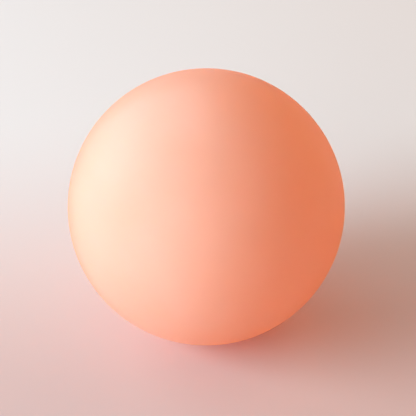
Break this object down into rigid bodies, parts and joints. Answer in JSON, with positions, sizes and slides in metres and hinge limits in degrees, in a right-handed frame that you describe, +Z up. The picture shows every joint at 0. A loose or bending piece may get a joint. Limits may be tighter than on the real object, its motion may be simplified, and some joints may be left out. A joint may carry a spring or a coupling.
{
  "type": "table tennis ball",
  "caption": "Hollow orange table tennis ball of matte moulded plastic: thin half shells lapped over an inner lip and cemented along one seam, with sealed air inside.",
  "frame": {"origin": "centre of the ball", "axes": "+Z up as the ball lies on a table, -Y towards the viewer and +X to the viewer's right; the axis through the two halves lies in the YZ plane and leans 34 degrees up from -Y"},
  "size_m": [0.04, 0.04, 0.04],
  "materials": {
    "shell": "matte",
    "cement": "satin"
  },
  "bodies": {
    "root": {"front_half_shell": "shell", "rear_half_shell": "shell", "seam_cement": "cement"}
  },
  "joints": []
}
